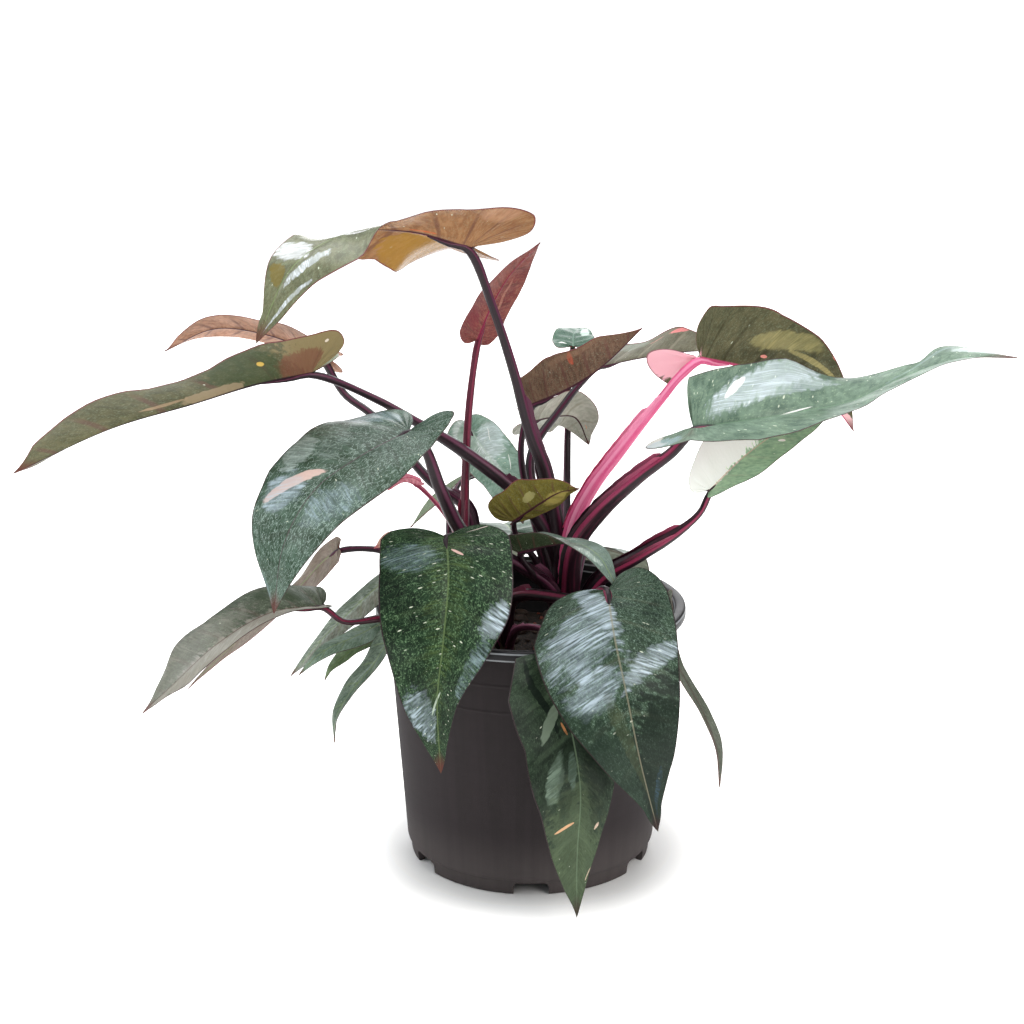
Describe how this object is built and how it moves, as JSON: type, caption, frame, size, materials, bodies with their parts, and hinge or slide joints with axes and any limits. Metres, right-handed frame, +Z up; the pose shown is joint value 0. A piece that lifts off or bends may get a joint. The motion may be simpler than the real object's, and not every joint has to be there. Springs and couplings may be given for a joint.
{
  "type": "potted pink princess philodendron",
  "caption": "Pink princess philodendron with heart-shaped dark green, olive and pink leaves on maroon stalks, rooted in a round black nursery pot.",
  "frame": {"origin": "on the floor, under the middle of the pot", "axes": "+Z up, -Y towards the plant's front, +X to the right as seen from the front, along the widest spread of the leaves"},
  "size_m": [0.6752, 0.3255, 0.4605],
  "materials": {
    "pot": "matte charcoal blow-moulded plastic, glossier on the lip",
    "soil": "moist peat and bark potting mix",
    "stem": "smooth dark maroon leaf stalks with magenta edges",
    "blade_green": "glossy dark green leaf with fine pale flecks",
    "blade_olive": "glossy olive leaf seen from below",
    "blade_brown": "brownish young leaf",
    "blade_red": "reddish unfolding leaf",
    "blade_grey": "grey-green leaf",
    "blade_pale": "leaf with cream-white and green sectors",
    "blade_pink": "leaf with pink sectors"
  },
  "bodies": {
    "root": {"pot": "pot", "soil": "soil", "stem_main": "stem", "stem_front": "stem", "stem_left": "stem", "blade_top_left": "blade_green", "blade_far_left": "blade_olive", "blade_behind_left": "blade_brown", "blade_left": "blade_green", "blade_variegated": "blade_pale", "blade_top_centre": "blade_red", "blade_centre_brown": "blade_brown", "blade_back_small": "blade_grey", "blade_back_right": "blade_grey", "blade_back_centre": "blade_grey", "blade_pink_right": "blade_pink", "blade_long_right": "blade_green", "blade_half_white": "blade_pale", "blade_front_left": "blade_green", "blade_front_right": "blade_green", "blade_hanging": "blade_green", "blade_young_olive": "blade_olive", "blade_young_front": "blade_green", "blade_lower_left": "blade_green", "blade_lower_left_back": "blade_brown", "blade_side_upper": "blade_green", "blade_side_middle": "blade_green", "blade_side_lower": "blade_green", "blade_side_under": "blade_green", "blade_pink_curled": "blade_pink", "blade_small_olive": "blade_olive", "blade_tan_behind": "blade_brown", "blade_lower_right": "blade_pale", "blade_back_low": "blade_grey", "blade_back_low_right": "blade_green"}
  },
  "joints": []
}
